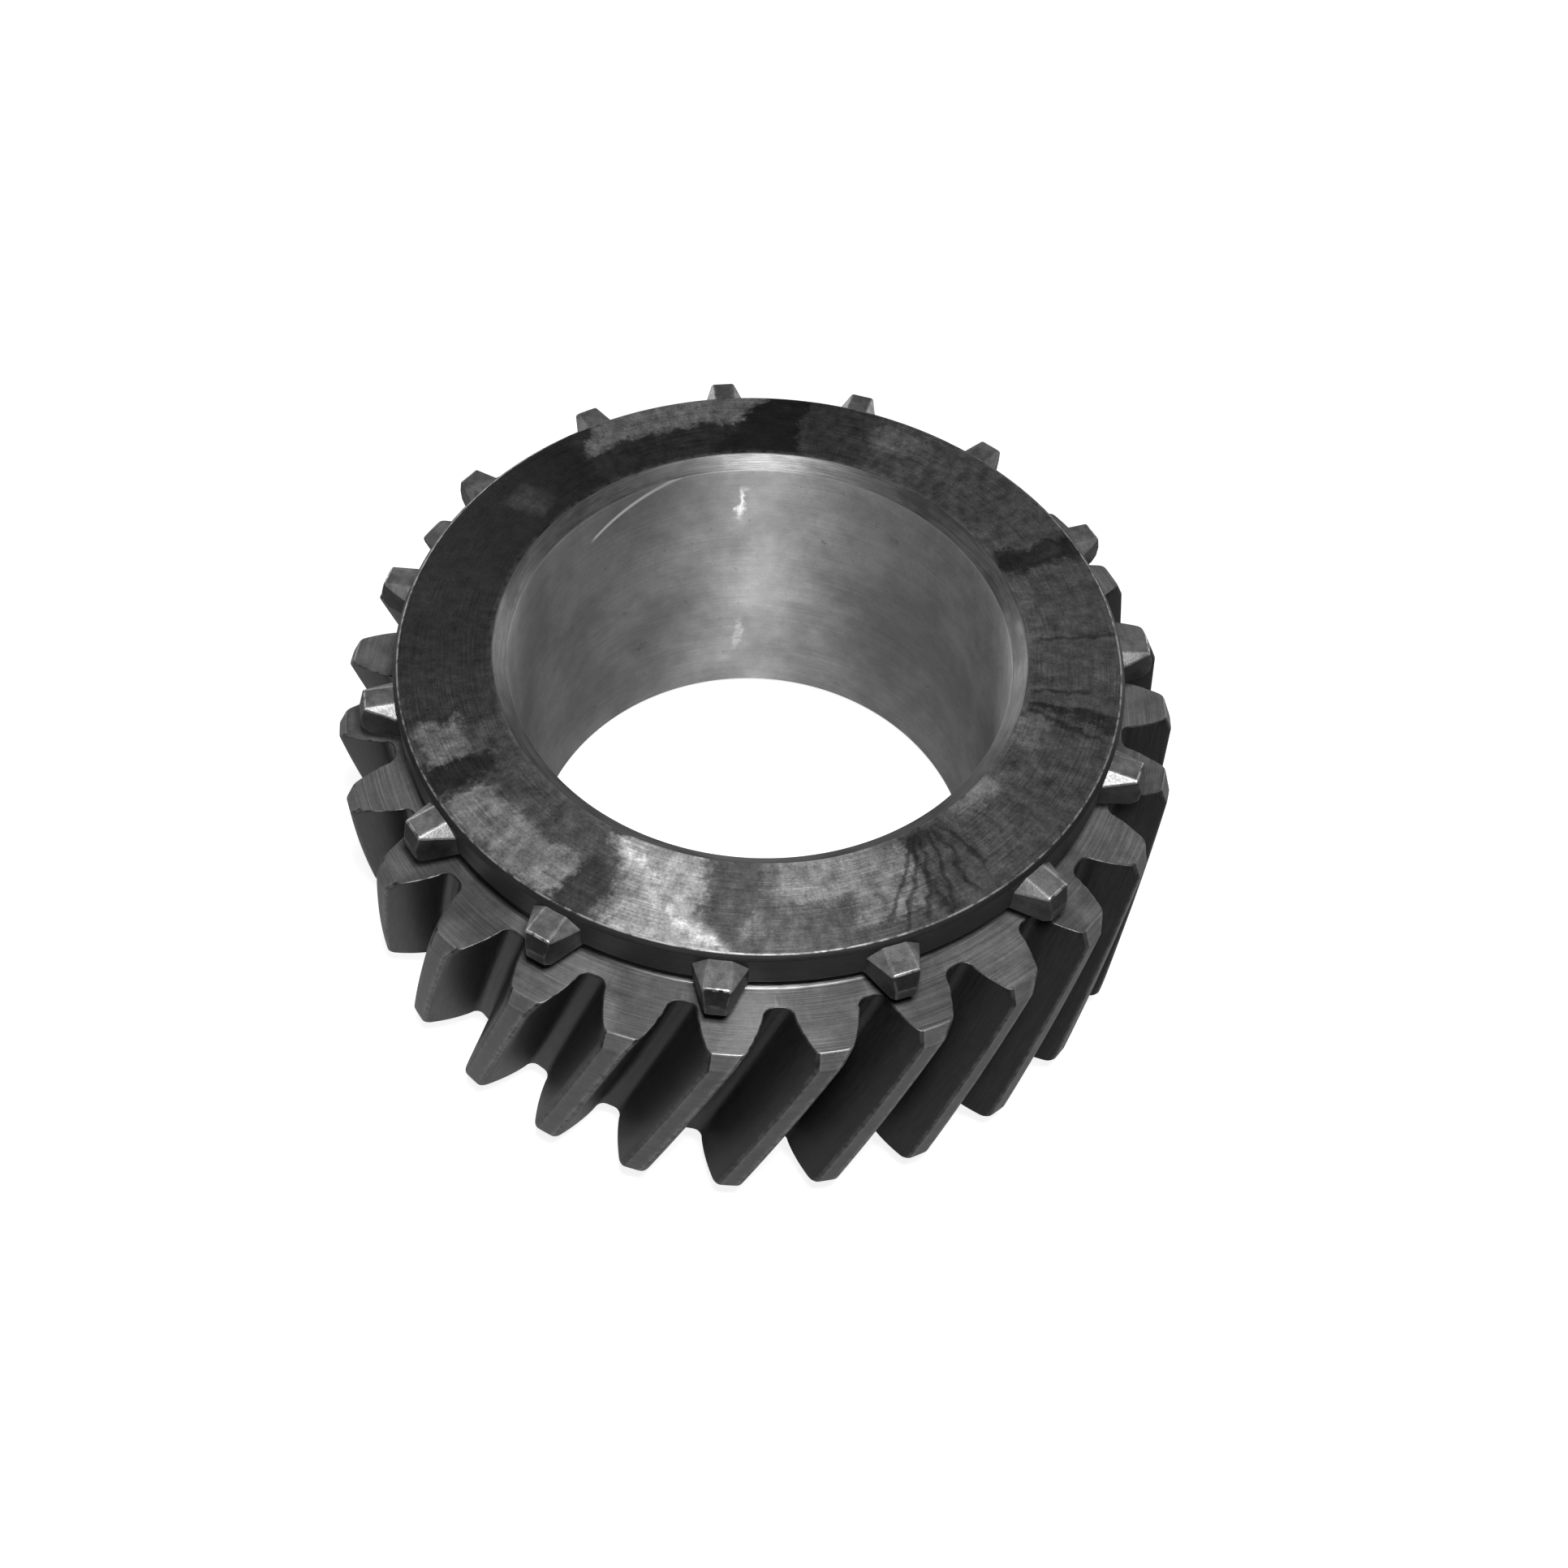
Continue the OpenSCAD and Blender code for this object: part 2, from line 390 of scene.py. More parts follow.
def band_between(shell, start, end, z):
    """One band of the toothed wall, with its flanks, tip lands and end bevels as separate materials."""
    per_tooth = len(start) // TEETH
    half = (per_tooth + 2) // 2
    land_from, land_to = half - LAND_POINTS, per_tooth - half + LAND_POINTS
    for i in range(len(start)):
        j = (i + 1) % len(start)
        place = i % per_tooth
        on_land = land_from <= place < land_to
        if z >= RIM_TOP - TOOTH_BEVEL_H - 0.01 and on_land:
            material = "tip_bevel"
        elif on_land:
            material = "tip_land"
        else:
            material = "flank"
        shell.face((start[i], start[j], end[j], end[i]), material)


# ---------------------------------------------------------------- clutch ring


def dog_points():
    """Corners of one dog along +X: a wedge under a roof whose facets run out at its tip."""
    slope = (DOG_ROOT_HALF - DOG_TIP_HALF) / (DOG_TIP_R - RING_R)
    back_x = RING_R - DOG_BURY
    back_half = DOG_ROOT_HALF + slope * DOG_BURY
    eaves = DOG_TOP - (back_half - DOG_TIP_HALF) * math.tan(math.radians(DOG_SLOPE))
    half_sides = [
        (back_x, back_half - DOG_TAPER, SEAT_Z),
        (DOG_TIP_R, DOG_TIP_HALF - DOG_TAPER, SEAT_Z),
        (back_x, back_half, eaves),
        (back_x, DOG_TIP_HALF, DOG_TOP),
        (DOG_TIP_R, DOG_TIP_HALF, DOG_TOP),
    ]
    return [(x, -y, z) for x, y, z in half_sides] + half_sides


def trim(work, place, normal, material_index):
    """Cuts a closed solid off flat beyond a plane."""
    everything = work.verts[:] + work.edges[:] + work.faces[:]
    cut = bmesh.ops.bisect_plane(work, geom=everything, plane_co=place, plane_no=normal, clear_outer=True)
    rim = [e for e in cut["geom_cut"] if isinstance(e, bmesh.types.BMEdge)]
    for face in bmesh.ops.edgenet_fill(work, edges=rim)["faces"]:
        face.material_index = material_index
    bmesh.ops.recalc_face_normals(work, faces=work.faces)


def dog_mesh():
    """One dog with softened edges, as its points and its (corners, material, wear) faces."""
    low_back, low_tip, eaves, top_back, top_tip = range(5)
    other = 5
    faces = [
        ((low_back, low_back + other, low_tip + other, low_tip), "dog_flank"),
        ((low_tip, low_tip + other, top_tip + other, top_tip), "dog_end"),
        ((low_back, low_tip, top_tip, eaves), "dog_flank"),
        ((low_back + other, eaves + other, top_tip + other, low_tip + other), "dog_flank"),
        ((eaves, top_tip, top_back), "dog_top"),
        ((eaves + other, top_back + other, top_tip + other), "dog_top"),
        ((top_back, top_tip, top_tip + other, top_back + other), "dog_top"),
        ((low_back, eaves, top_back, top_back + other, eaves + other, low_back + other), "dog_flank"),
    ]
    names = ["dog_flank", "dog_end", "dog_top"]
    work = bmesh.new()
    corners = [work.verts.new(p) for p in dog_points()]
    for loop, material in faces:
        made = work.faces.new([corners[i] for i in loop])
        made.material_index = names.index(material)
    bmesh.ops.recalc_face_normals(work, faces=work.faces)
    trim(work, (DOG_TIP_R - DOG_BEVEL, 0, DOG_TOP), (DOG_BEVEL_H, 0, DOG_BEVEL), names.index("dog_end"))
    trim(work, (DOG_TIP_R - DOG_EDGE, 0, SEAT_Z), (1, 0, -1), names.index("dog_end"))
    buried = RING_R - DOG_BURY + 0.01
    edges = [e for e in work.edges if max(v.co.x for v in e.verts) > buried]
    made = bmesh.ops.bevel(
        work, geom=edges, offset=DOG_SOFT, offset_type="OFFSET", segments=3, profile=0.5, affect="EDGES",
        clamp_overlap=True, material=-1,
    )
    softened = set(made["faces"])
    work.verts.index_update()
    points = [tuple(v.co) for v in work.verts]
    solid_faces = []
    for face in work.faces:
        middle = face.calc_center_median()
        brow = middle.x > DOG_TIP_R - DOG_BEVEL - 0.6 and middle.z > DOG_TOP - 0.5
        wear = (1.0 if brow else 0.15) if face in softened else 0.0
        solid_faces.append(([v.index for v in face.verts], names[face.material_index], wear))
    work.free()
    return points, solid_faces


def clutch_ring_shell():
    """The ring: one closed outline turned round the bore axis, and a solid for each dog that runs into it."""
    shell = Shell()
    low_in = RING_R - RING_EDGE
    high_in = RING_R - RING_BEVEL
    profile = [
        (low_in - RING_SOFT, SEAT_Z, 0, "ring_wall"),
        (low_in + RING_SOFT / 2, SEAT_Z + RING_SOFT / 2, 0, "ring_wall"),
        (RING_R - RING_SOFT / 2, SEAT_Z + RING_EDGE - RING_SOFT / 2, 0, "ring_wall"),
        (RING_R, SEAT_Z + RING_EDGE + RING_SOFT, 0, "ring_wall"),
        (RING_R, (SEAT_Z + TOP_Z) / 2, 0, "ring_wall"),
        (RING_R, TOP_Z - RING_BEVEL - RING_SOFT, 0.3, "ring_wall"),
        (RING_R - RING_SOFT / 2, TOP_Z - RING_BEVEL + RING_SOFT / 2, 0.3, "ring_wall"),
        (high_in + RING_SOFT / 2, TOP_Z - RING_SOFT / 2, 1.0, "ring_bevel"),
        (high_in - RING_SOFT / 2, TOP_Z, 1.0, "ring_edge"),
        (high_in - RING_SOFT, TOP_Z, 0, "thrust_face"),
        (BORE_R + BORE_BEVEL + 1.0, TOP_Z, 0, "thrust_face"),
        (BORE_R + BORE_BEVEL + 0.15, TOP_Z, 0.15, "thrust_face"),
        (BORE_R + BORE_BEVEL - 0.12, TOP_Z - 0.12, 0.15, "bore_bevel"),
        (BORE_R + 0.12, TOP_Z - BORE_BEVEL + 0.12, 0.3, "bore_bevel"),
        (BORE_R, TOP_Z - BORE_BEVEL - 0.15, 0.3, "bore"),
        (BORE_R, SPIGOT_TOP, 0, "bore"),
        (SPIGOT_R, SPIGOT_TOP, 0, "ring_wall"),
        (SPIGOT_R, SEAT_Z, 0, "ring_wall"),
        (NECK_R + 1.0, SEAT_Z, 0, "ring_wall"),
    ]
    rings = [shell.loop(circle(radius), z, 0, wear) for radius, z, wear, _ in profile]
    for i in range(len(rings)):
        shell.band(rings[i - 1], rings[i], profile[i][3])
    for i in range(DOGS):
        shell.add_solid(dog_mesh(), DOG_PHASE + 360 / DOGS * i)
    return shell


# ---------------------------------------------------------------- weld bead


def weld_shell():
    """The bead at the back of the groove, with the ripples of the weld pool along it."""
    shell = Shell()
    bulge = WELD_LEG / 2
    section = [(0, 0), (0, -1), (0.18, -0.72), (0.5, -0.5), (0.75, -0.22), (1, 0)]
    lift = [0, 0, 0.5, 1, 0.5, 0]
    loops = []
    for (out, up), swell in zip(section, lift):
        outline = []
        for _, angle in circle(1, 720):
            ripple = 0.16 * math.sin(math.radians(angle * 90)) + 0.05 * math.sin(math.radians(angle * 37))
            outline.append((NECK_R + out * WELD_LEG + swell * bulge * (0.3 + ripple), angle))
        loops.append(shell.loop(outline, SEAT_Z + up * WELD_LEG))
    for i in range(len(loops)):
        shell.band(loops[(i + 1) % len(loops)], loops[(i + 2) % len(loops)], "weld_bead")
    return shell


# ---------------------------------------------------------------- materials

# The long scratch in the bore: its angles, its height at the first one, and how fast it drops and bows
SCRATCH_FROM = 108.0
SCRATCH_TO = 138.0
SCRATCH_Z = TOP_Z - 1.2
SCRATCH_DROP = 0.225
SCRATCH_BOW = 0.0028
SCRATCH_HALF = 0.36

# Painted highlights in the bore, two glints of light on its far wall: the angles that they lie between, their
# heights from and to, and their strength
GLINT_FROM = 96.2
GLINT_TO = 97.4
PAINTED_BORE_GLINTS = [(48.5, 55.0, 0.7), (12.0, 20.0, 0.25)]

# The thrust face's grey under its marks, and how dark its strokes are
FACE_GREY = 0.06
STROKE_GREY = 0.012

# Radii on the thrust face: where a mark counts as running right to the bore, and where a leaning one turns
FACE_INNER = 42.0
FACE_MIDDLE = 50.0

# Marks on the thrust face, most of them stains and a few of them painted highlight, in the order they are
# laid on it: angles from and to, radii from and to, how far the mark leans in degrees for each millimetre
# outwards, how soft its sides are in degrees, and its grey
STAINS_AND_PAINTED_HIGHLIGHT = [
    (-182, -156, 42, 58, 0.0, 5, 0.035),
    (128, 190, 42, 58, 0.0, 3, 0.011),
    (168, 200, 42, 58, 0.0, 16, 0.02),
    (-200, -170, 42, 58, 0.0, 16, 0.02),
    (-157, -148, 49, 55.5, 0.0, 2, 0.15),
    (-149, -143, 46, 58, 0.0, 2, 0.02),
    (-143, -118, 42, 58, 0.0, 3, 0.07),
    (-142.5, -118, 49.5, 56.5, 0.0, 1, 0.17),
    (-118, -112, 48, 58, -0.3, 2, 0.035),
    # Painted highlight: the bright front zone and the slanting streak of light across it, in these four
    # marks.
    (-112, -97, 42, 58, 0.2, 4, 0.28),
    (-107.5, -102, 43, 57, 1.46, 5, 0.36),
    (-105.6, -103.4, 51, 55.5, 1.46, 3, 0.6),
    (-105.6, -103.4, 43, 46, 1.46, 3, 0.6),
    (-97, -90, 42, 53, -0.3, 4, 0.055),
    (-90, -87, 50, 55, -0.2, 2, 0.13),
    (-88, -80, 49, 57, 0.0, 4, 0.075),
    (-86, -66, 42, 49, 0.0, 6, 0.17),
    (-72, -61, 43, 54, -0.5, 4, 0.15),
    (-60, -18, 42, 58, 0.0, 4, 0.06),
    (-61, -54, 42, 45.5, 0.0, 3, 0.025),
    (-47, -35, 42, 45, 0.0, 4, 0.14),
    (-26, -18, 42, 47, 0.0, 3, 0.1),
    (-16.5, -14.5, 43, 58, 0.0, 1.5, 0.02),
    (-14, 22, 42, 58, 0.0, 3, 0.06),
    (0, 20, 42, 46, 0.0, 6, 0.08),
    (21.5, 27.5, 42, 58, 0.0, 2, 0.013),
    (23.5, 25.5, 48, 54, 0.0, 2, 0.03),
    (27.5, 68, 42, 58, 0.0, 3, 0.065),
    (58, 69, 49, 54.5, 0.0, 4, 0.11),
    (69, 83, 42, 58, 0.0, 4, 0.035),
    (91, 130, 42, 58, 0.0, 2, 0.02),
    (83, 93, 42, 58, 0.0, 2, 0.009),
    (88, 97, 42, 58, -0.85, 2, 0.009),
    (97, 130, 50.5, 57.6, -0.9, 2, 0.14),
    (142, 148, 45, 52, 0.0, 4, 0.04),
]

# Thin dark strokes that fan out on the thrust face: angle at the bore, angle at the rim, radii from and to
STROKES = [
    (-54, -60, 43, 57),
    (-56, -64, 43, 56),
    (-57, -68, 43, 57),
    (-58, -72, 43, 54),
    (-53, -55, 43, 55),
    (-52, -50, 43, 52),
    (-60, -60, 44, 58),
    (-15, -14, 43, 58),
    (-17, -19, 43, 56),
    (-12, -8, 43, 52),
    (2, 4, 44, 57),
]


class Graph:
    """Short forms for building a metal's nodes. Lengths are in millimetres and angles in degrees."""

    def __init__(self, name):
        self.material = bpy.data.materials.new(name)
        self.material.use_nodes = True
        self.tree = self.material.node_tree
        self.shader = next(n for n in self.tree.nodes if n.type == "BSDF_PRINCIPLED")
        coordinates = self.node("ShaderNodeTexCoord").outputs["Object"]
        self.mm = self.scale(coordinates, 1 / MM)
        self.x, self.y, self.z = self.split(self.mm)
        self.radius = self.calc("SQRT", self.add(self.mul(self.x, self.x), self.mul(self.y, self.y)))
        self.angle = self.mul(self.calc("ARCTAN2", self.y, self.x), math.degrees(1))
        self.wear = self.node("ShaderNodeAttribute", attribute_name="wear").outputs["Fac"]

    def node(self, kind, **settings):
        made = self.tree.nodes.new(kind)
        for key, value in settings.items():
            setattr(made, key, value)
        return made

    def feed(self, socket, value):
        if isinstance(value, bpy.types.NodeSocket):
            self.tree.links.new(value, socket)
        else:
            socket.default_value = value

    def calc(self, operation, a, b=0.0):
        made = self.node("ShaderNodeMath", operation=operation)
        for socket, value in zip(made.inputs, (a, b)):
            self.feed(socket, value)
        return made.outputs[0]

    def add(self, a, b):
        return self.calc("ADD", a, b)

    def sub(self, a, b):
        return self.calc("SUBTRACT", a, b)

    def mul(self, a, b):
        return self.calc("MULTIPLY", a, b)

    def scale(self, vector, factor):
        made = self.node("ShaderNodeVectorMath", operation="SCALE")
        self.feed(made.inputs[0], vector)
        self.feed(made.inputs["Scale"], factor)
        return made.outputs[0]

    def split(self, vector):
        made = self.node("ShaderNodeSeparateXYZ")
        self.feed(made.inputs[0], vector)
        return made.outputs

    def combine(self, x, y, z):
        made = self.node("ShaderNodeCombineXYZ")
        for socket, value in zip(made.inputs, (x, y, z)):
            self.feed(socket, value)
        return made.outputs[0]

    def ramp(self, value, low, high, out_low=0.0, out_high=1.0):
        """Goes smoothly from out_low to out_high as value goes from low to high."""
        made = self.node("ShaderNodeMapRange", interpolation_type="SMOOTHSTEP")
        for socket, number in zip(made.inputs, (value, low, high, out_low, out_high)):
            self.feed(socket, number)
        return made.outputs[0]

    def stretch(self, value, low, high):
        """Spreads the values between low and high over 0 to 1."""
        made = self.node("ShaderNodeMapRange", interpolation_type="LINEAR")
        for socket, number in zip(made.inputs, (value, low, high, 0.0, 1.0)):
            self.feed(socket, number)
        return made.outputs[0]

    def window(self, value, low, high, soft):
        """1 between low and high, falling to 0 over the distance soft at each end."""
        rise = self.ramp(value, low - soft / 2, low + soft / 2)
        return self.mul(rise, self.ramp(value, high - soft / 2, high + soft / 2, 1.0, 0.0))

    def mix(self, share, start, end):
        """start where share is 0, end where it is 1."""
        made = self.node("ShaderNodeMapRange", interpolation_type="LINEAR")
        for socket, number in zip(made.inputs, (share, 0.0, 1.0, start, end)):
            self.feed(socket, number)
        return made.outputs[0]

    def noise(self, vector, scale, detail=3.0, roughness=0.5):
        """Noise that uses most of the range from 0 to 1."""
        made = self.node("ShaderNodeTexNoise")
        self.feed(made.inputs["Vector"], vector)
        made.inputs["Scale"].default_value = scale
        made.inputs["Detail"].default_value = detail
        made.inputs["Roughness"].default_value = roughness
        return self.stretch(made.outputs["Fac"], 0.28, 0.72)

    def around(self, per_turn, per_mm, along="radius"):
        """Coordinates for marks round the bore axis: long along the turn, fine across it, with no seam."""
        unit_x = self.calc("DIVIDE", self.x, self.radius)
        unit_y = self.calc("DIVIDE", self.y, self.radius)
        across = self.radius if along == "radius" else self.z
        return self.combine(self.mul(unit_x, per_turn), self.mul(unit_y, per_turn), self.mul(across, per_mm))

    def along_teeth(self, stretch):
        """Coordinates that follow the helix: long along the teeth, fine across them."""
        spin = self.node("ShaderNodeVectorRotate", rotation_type="Z_AXIS")
        self.feed(spin.inputs["Vector"], self.mm)
        self.feed(spin.inputs["Angle"], self.mul(self.z, -math.radians(TWIST_PER_MM)))
        x, y, z = self.split(spin.outputs[0])
        return self.combine(x, y, self.mul(z, stretch))

    def bump(self, height, depth):
        """Normals for a relief that goes depth deep as height goes from 1 to 0."""
        made = self.node("ShaderNodeBump")
        made.inputs["Strength"].default_value = 1.0
        made.inputs["Distance"].default_value = depth * MM
        self.feed(made.inputs["Height"], height)
        return made.outputs[0]

    def turned(self, amount):
        """Tool marks that run round the bore axis, which spread the light across them."""
        tangent = self.node("ShaderNodeTangent", direction_type="RADIAL", axis="Z")
        self.feed(self.shader.inputs["Tangent"], tangent.outputs[0])
        self.shader.inputs["Anisotropic"].default_value = amount
        self.shader.inputs["Anisotropic Rotation"].default_value = 0.25

    def metal(self, grey, roughness, height=None, depth=0.01, metallic=0.6):
        """Ends the material: a neutral colour, roughness and bump."""
        colour = self.node("ShaderNodeCombineColor")
        for socket in colour.inputs:
            self.feed(socket, grey)
        self.feed(self.shader.inputs["Base Color"], colour.outputs[0])
        self.feed(self.shader.inputs["Roughness"], roughness)
        self.shader.inputs["Metallic"].default_value = metallic
        if height is not None:
            self.feed(self.shader.inputs["Normal"], self.bump(height, depth))
        return self.material

    def worn(self, grey, bright):
        """grey with brighter metal where the wear value is high, broken up along the edge."""
        patchy = self.ramp(self.noise(self.mm, 0.8, 3), 0.15, 0.75)
        return self.mix(self.mul(self.wear, patchy), grey, bright)

    def mottled(self, grey, share, scale=0.15):
        """grey with blotches and fine speckle that vary it by up to share either way."""
        blotch = self.noise(self.mm, scale, 5, 0.65)
        speck = self.noise(self.mm, 2.5, 2, 0.6)
        both = self.sub(self.add(self.mul(blotch, 1.2), self.mul(speck, 0.8)), 1.0)
        return self.mul(grey, self.add(1.0, self.mul(both, share)))


def ground_flank():
    """Tooth flanks: oiled steel with grinding lines along the teeth. Their very dark grey is partly oil and
    partly painted shade, and it darkens further towards the root as painted shade.
    """
    g = Graph("ground_flank")
    lines = g.noise(g.along_teeth(0.06), 3.0, 3, 0.6)
    # Painted shade: the grey falls off towards the tooth root, where the teeth shade each other.
    root = g.ramp(g.radius, ROOT_R, ROOT_R + 2.5, 0.8, 1.0)
    grey = g.mottled(g.mul(g.mix(lines, 0.011, 0.024), root), 0.3)
    rough = g.mix(lines, 0.38, 0.46)
    return g.metal(g.worn(grey, 0.17), rough, lines, 0.006, 0.55)


def turned_tip_land(name, low, high):
    """Tips of the teeth and their bevels: fine lines from turning, with worn edges."""
    g = Graph(name)
    lines = g.noise(g.around(3, 6, "height"), 1.0, 3, 0.6)
    grey = g.mottled(g.mix(lines, low, high), 0.3, 0.25)
    nick = g.ramp(g.noise(g.mm, 0.9, 4, 0.7), 0.86, 0.96)
    grey = g.mix(g.mul(nick, 0.35), grey, 0.03)
    return g.metal(g.worn(grey, 0.32), g.mix(lines, 0.36, 0.52), lines, 0.012, 0.6)


def turned_rim_face():
    """The rim's end face between the teeth and the groove."""
    g = Graph("turned_rim_face")
    lines = g.noise(g.around(4, 7), 1.0, 3, 0.65)
    stain = g.ramp(g.noise(g.mm, 0.09, 4, 0.6), 0.2, 0.7, 0.6, 1.1)
    grey = g.mottled(g.mul(g.mix(lines, 0.07, 0.18), stain), 0.25, 0.4)
    g.turned(0.4)
    return g.metal(g.worn(grey, 0.3), g.mix(lines, 0.38, 0.52), lines, 0.012, 0.45)


def turned_shoulder():
    """The narrow cone at the neck's foot, turned, in a lighter grey than the rim face."""
    g = Graph("turned_shoulder")
    lines = g.noise(g.around(5, 9), 1.0, 3, 0.6)
    rubbed = g.ramp(g.noise(g.mm, 0.12, 3), 0.2, 0.7, 0.45, 1.0)
    g.turned(0.3)
    return g.metal(g.mul(g.mix(lines, 0.12, 0.34), rubbed), 0.36, lines, 0.01, 0.7)


def oiled_steel(name, grey, roughness, bright):
    """Dark walls and grooves that hold old oil, with bright grey where they are worn."""
    g = Graph(name)
    lines = g.noise(g.around(5, 3, "height"), 1.0, 3, 0.6)
    tone = g.mottled(g.mix(lines, grey * 0.7, grey * 1.3), 0.4, 0.3)
    return g.metal(g.worn(tone, bright), g.mix(lines, roughness - 0.06, roughness + 0.08), lines, 0.015, 0.5)


def lower_face():
    """The turned lower end face and boss."""
    g = Graph("turned_lower_face")
    lines = g.noise(g.around(4, 5), 1.0, 3, 0.65)
    stain = g.ramp(g.noise(g.mm, 0.07, 5, 0.65), 0.25, 0.7, 0.45, 1.0)
    g.turned(0.5)
    grey = g.mul(g.mix(lines, 0.12, 0.26), stain)
    return g.metal(g.worn(grey, 0.45), g.mix(lines, 0.34, 0.48), lines, 0.012, 0.6)


def ground_bore():
    """The bore's running surface: ground round the axis, with a scratch, two painted highlights and dull
    specks.
    """
    g = Graph("ground_bore")
    lines = g.noise(g.around(2, 5, "height"), 1.0, 4, 0.7)
    haze = g.noise(g.mm, 0.06, 4, 0.6)
    cloud = g.ramp(haze, 0.15, 0.85, 0.8, 1.15)
    speck = g.ramp(g.noise(g.mm, 0.5, 4, 0.7), 0.8, 1.0)
    grey = g.mottled(g.mul(g.mix(lines, 0.26, 0.36), cloud), 0.16, 0.3)
    grey = g.mix(g.mul(speck, 0.4), grey, 0.08)
    turn = g.sub(g.angle, SCRATCH_FROM)
    bow = g.mul(g.mul(turn, g.sub(g.angle, SCRATCH_TO)), SCRATCH_BOW)
    height = g.sub(g.z, g.add(SCRATCH_Z, g.mul(turn, -SCRATCH_DROP)))
    scratch = g.window(g.add(height, bow), -SCRATCH_HALF, SCRATCH_HALF, 0.4)
    scratch = g.mul(scratch, g.ramp(g.angle, SCRATCH_FROM, SCRATCH_TO - 8, 0.2, 1.0))
    scratch = g.mul(scratch, g.window(g.angle, SCRATCH_FROM, SCRATCH_TO, 2.5))
    grey = g.mix(scratch, grey, 0.9)
    # Painted highlight: two bright glints of light laid into the bore's grey.
    for low, high, level in PAINTED_BORE_GLINTS:
        middle = (low + high) / 2
        lean = g.mul(g.sub(g.z, middle), 0.12)
        place = g.add(g.add(g.angle, lean), g.mul(g.sub(g.noise(g.mm, 0.35, 4, 0.7), 0.5), 3.2))
        painted_glint = g.mul(g.window(place, GLINT_FROM, GLINT_TO, 1.6), g.window(g.z, low, high, (high - low) / 2))
        grey = g.mix(g.mul(painted_glint, level), grey, 1.0)
    rough = g.add(g.mix(lines, 0.52, 0.6), g.mul(g.sub(haze, 0.5), 0.08))
    g.turned(0.9)
    return g.metal(grey, rough, lines, 0.006, 0.7)


def turned_bore_bevel():
    """The bevel at the bore's mouth, bright from turning."""
    g = Graph("turned_bore_bevel")
    lines = g.noise(g.around(6, 9), 1.0, 3, 0.7)
    rubbed = g.ramp(g.noise(g.around(3.5, 0.3), 1.0, 4, 0.6), 0.2, 0.65, 0.6, 1.0)
    g.turned(0.4)
    return g.metal(g.mul(g.mix(lines, 0.06, 0.16), rubbed), 0.4, lines, 0.012, 0.6)


def stained_thrust_face_with_painted_highlight():
    """The turned end face of the clutch ring, with the oil and heat stains of its working life, and a painted
    highlight: a bright front zone with a slanting streak of light across it.
    """
    g = Graph("stained_thrust_face_with_painted_highlight")
    lines = g.noise(g.around(5, 7), 1.0, 4, 0.7)
    sweep = g.noise(g.around(26, 0.25), 1.0, 4, 0.65)
    wobble = g.sub(g.noise(g.mm, 0.22, 5, 0.65), 0.5)
    fray = g.sub(g.noise(g.mm, 1.3, 3, 0.6), 0.5)
    shaken_angle = g.add(g.add(g.angle, g.mul(wobble, 3.5)), g.mul(fray, 1.6))
    shaken_radius = g.add(g.add(g.radius, g.mul(wobble, 2.4)), g.mul(fray, 1.2))
    grey = FACE_GREY
    for start, end, inner, outer, lean, soft, level in STAINS_AND_PAINTED_HIGHLIGHT:
        place = shaken_angle
        if lean:
            place = g.add(place, g.mul(g.sub(g.radius, FACE_MIDDLE), -lean))
        share = g.window(place, start, end, soft)
        if inner > FACE_INNER or outer < RING_R:
            from_radius = inner if inner > FACE_INNER else 0.0
            share = g.mul(share, g.window(shaken_radius, from_radius, outer, 1.8))
        grey = g.mix(share, grey, level)
    for inner_angle, outer_angle, inner, outer in STROKES:
        slope = (outer_angle - inner_angle) / (RING_R - BORE_R - BORE_BEVEL)
        middle = g.add(g.mul(g.sub(g.radius, BORE_R + BORE_BEVEL), slope), inner_angle)
        off = g.sub(g.add(g.angle, g.mul(wobble, 2.2)), middle)
        share = g.mul(g.window(off, -0.45, 0.45, 0.9), g.window(g.radius, inner, outer, 2.0))
        grey = g.mix(g.mul(share, 0.75), grey, STROKE_GREY)
    grey = g.mul(grey, g.mix(sweep, 0.6, 1.4))
    grey = g.mul(grey, g.mix(lines, 0.6, 1.4))
    grey = g.mottled(grey, 0.7, 0.55)
    g.turned(0.5)
    rough = g.mix(lines, 0.36, 0.56)
    return g.metal(g.worn(grey, 0.3), rough, lines, 0.012, 0.45)


def dog_steel(name, low, high, bright):
    """Faces of the dogs, polished unevenly by the shift sleeve, with bright grey where they are worn. Each
    kind of face gets its own grey as painted light: lighter tops as painted highlight, darker flanks and ends
    as painted shade.
    """
    g = Graph(name)
    rubbed = g.noise(g.mm, 0.35, 4, 0.6)
    fine = g.noise(g.mm, 3.0, 3, 0.6)
    grey = g.mottled(g.mix(g.ramp(rubbed, 0.15, 0.85), low, high), 0.25, 0.8)
    return g.metal(g.worn(grey, bright), g.mix(fine, 0.32, 0.48), fine, 0.012, 0.6)


def weld_bead():
    """The bead's scaly, heat-darkened skin."""
    g = Graph("weld_bead")
    scale = g.noise(g.mm, 1.4, 4, 0.7)
    return g.metal(g.mottled(g.mix(scale, 0.03, 0.09), 0.4, 0.5), g.mix(scale, 0.4, 0.65), scale, 0.05, 0.5)


